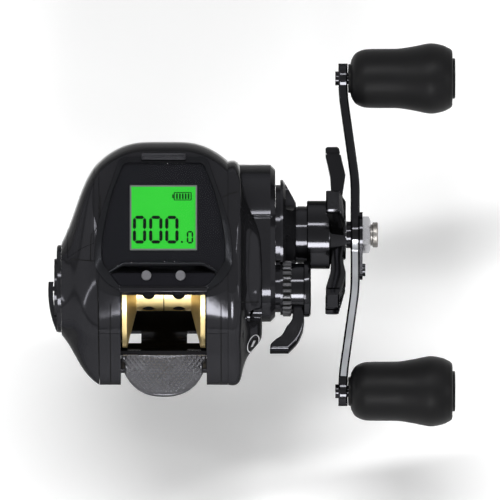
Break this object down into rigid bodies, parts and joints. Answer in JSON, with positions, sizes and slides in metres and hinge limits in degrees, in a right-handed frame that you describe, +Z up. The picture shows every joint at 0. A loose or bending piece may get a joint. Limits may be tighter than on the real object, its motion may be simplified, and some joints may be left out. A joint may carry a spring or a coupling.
{
  "type": "fishing reel",
  "caption": "Low-profile baitcasting reel with a line-counter display in its hood, a level wind, a star drag and a crank handle with round knobs.",
  "frame": {"origin": "centre of the reel foot's seat face, where the reel sits on the rod", "axes": "+X along the spool's axis to the handle, +Y to the rod tip, +Z up from the rod"},
  "size_m": [0.1275, 0.107, 0.0768],
  "materials": {
    "black_moulding": "gloss",
    "charcoal_moulding": "satin",
    "grey_bezel": "satin",
    "grey_button": "satin",
    "gold_anodised": "polished and anodised",
    "black_aluminium": "anodised satin",
    "stainless_steel": "brushed",
    "bright_steel": "polished",
    "black_steel": "satin",
    "brass_parts": "machined",
    "clear_window": "polished",
    "green_display": "backlit",
    "green_board": "lacquered",
    "black_rubber": "matt",
    "knob_elastomer": "matt",
    "carbon_washer": "woven",
    "ceramic_insert": "polished"
  },
  "bodies": {
    "reel": {"frame": "charcoal_moulding", "reel_foot": "stainless_steel", "body_screws": "black_steel", "palm_side_cover": "black_moulding", "battery_seal": "black_rubber", "coin_cell": "stainless_steel", "counter_hood": "black_moulding", "display_bezel": "grey_bezel", "bezel_latch": "charcoal_moulding", "display_window": "clear_window", "button_panel": "black_moulding", "lcd_panel": "green_display", "circuit_board": "green_board", "board_parts": "black_moulding", "gear_side_cover": "black_moulding", "gear_cover_cap": "black_moulding", "ball_bearings": "stainless_steel", "anti_reverse_bearing": "stainless_steel", "yoke_springs": "stainless_steel", "guide_rod": "stainless_steel", "worm_bushes": "black_moulding"},
    "battery_door": {"battery_door": "black_moulding"},
    "power_button": {"power_button": "grey_button"},
    "set_button": {"set_button": "grey_button"},
    "thumb_bar": {"thumb_bar": "charcoal_moulding"},
    "clutch_yoke": {"clutch_yoke": "brass_parts"},
    "pinion": {"pinion_gear": "brass_parts"},
    "spool": {"spool": "gold_anodised", "spool_shaft": "stainless_steel", "spool_pin": "stainless_steel", "spool_magnets": "bright_steel"},
    "cast_control": {"cast_control_knob": "black_aluminium", "cast_control_shim": "brass_parts"},
    "brake_dial": {"brake_dial": "black_moulding"},
    "magnet_holder": {"magnet_holder": "black_moulding", "brake_magnets": "bright_steel"},
    "handle": {"drive_shaft": "stainless_steel", "drive_gear": "brass_parts", "drag_washers": "carbon_washer", "pressure_plate": "stainless_steel", "drive_sleeve": "stainless_steel", "drag_springs": "stainless_steel", "level_wind_cog": "black_moulding", "handle_spacer": "black_aluminium", "handle_arm": "black_aluminium", "retainer_plate": "black_aluminium", "handle_screws": "bright_steel", "handle_nut": "bright_steel", "nut_cap": "bright_steel", "knob_posts": "stainless_steel", "knob_bushes": "brass_parts"},
    "star_drag": {"star_drag": "black_aluminium"},
    "knob_a": {"knob_a": "knob_elastomer", "knob_a_cap": "knob_elastomer"},
    "knob_b": {"knob_b": "knob_elastomer", "knob_b_cap": "knob_elastomer"},
    "worm": {"worm_shaft": "stainless_steel", "worm_gear": "black_moulding"},
    "line_guide": {"line_guide": "black_moulding", "guide_insert": "ceramic_insert"}
  },
  "joints": [
    {"name": "handle_turn", "type": "hinge", "parent": "reel", "child": "handle", "pos_m": [0, 0.01398, 0.02259], "axis": [1, 0, 0], "continuous": true},
    {"name": "spool_turn", "type": "hinge", "parent": "reel", "child": "spool", "pos_m": [0, -0.006, 0.0235], "axis": [1, 0, 0], "continuous": true},
    {"name": "thumb_bar_press", "type": "slide", "parent": "reel", "child": "thumb_bar", "axis": [0, 0, -1], "range_m": [0, 0.0032]},
    {"name": "clutch_yoke_shift", "type": "slide", "parent": "reel", "child": "clutch_yoke", "axis": [1, 0, 0], "range_m": [0, 0.0013]},
    {"name": "pinion_turn", "type": "hinge", "parent": "clutch_yoke", "child": "pinion", "pos_m": [0, -0.006, 0.0235], "axis": [1, 0, 0], "continuous": true},
    {"name": "worm_turn", "type": "hinge", "parent": "reel", "child": "worm", "pos_m": [0, 0.023, 0.0155], "axis": [1, 0, 0], "continuous": true},
    {"name": "line_guide_travel", "type": "slide", "parent": "reel", "child": "line_guide", "axis": [1, 0, 0], "range_m": [-0.0086, 0.0086]},
    {"name": "star_drag_turn", "type": "hinge", "parent": "handle", "child": "star_drag", "pos_m": [0, 0.01398, 0.02259], "axis": [1, 0, 0], "range_deg": [-120, 120]},
    {"name": "knob_a_turn", "type": "hinge", "parent": "handle", "child": "knob_a", "pos_m": [0.074, 0.05641, 0.04709], "axis": [1, 0, 0], "continuous": true},
    {"name": "knob_b_turn", "type": "hinge", "parent": "handle", "child": "knob_b", "pos_m": [0.074, -0.02846, -0.00191], "axis": [1, 0, 0], "continuous": true},
    {"name": "cast_control_turn", "type": "hinge", "parent": "reel", "child": "cast_control", "pos_m": [0, -0.006, 0.0235], "axis": [1, 0, 0], "range_deg": [-60, 60]},
    {"name": "brake_dial_turn", "type": "hinge", "parent": "reel", "child": "brake_dial", "pos_m": [0, -0.006, 0.0235], "axis": [1, 0, 0], "range_deg": [0, 121]},
    {"name": "magnet_holder_shift", "type": "slide", "parent": "reel", "child": "magnet_holder", "axis": [1, 0, 0], "range_m": [0, 0.0016]},
    {"name": "power_button_press", "type": "slide", "parent": "reel", "child": "power_button", "axis": [0, 0.4384, -0.8988], "range_m": [0, 0.0006], "stiffness_N_per_m": 900},
    {"name": "set_button_press", "type": "slide", "parent": "reel", "child": "set_button", "axis": [0, 0.4384, -0.8988], "range_m": [0, 0.0006], "stiffness_N_per_m": 900},
    {"name": "battery_door_lift", "type": "slide", "parent": "reel", "child": "battery_door", "axis": [0, 0, 1], "range_m": [0, 0.006]}
  ],
  "couplings": [
    {"joint": "spool_turn", "follows": "handle_turn", "ratio": -6.4},
    {"joint": "pinion_turn", "follows": "handle_turn", "ratio": -6.4},
    {"joint": "worm_turn", "follows": "handle_turn", "ratio": -1.2222},
    {"joint": "clutch_yoke_shift", "follows": "thumb_bar_press", "ratio": 0.40625},
    {"joint": "brake_dial_turn", "follows": "magnet_holder_shift", "rad_per_m": 1309}
  ]
}
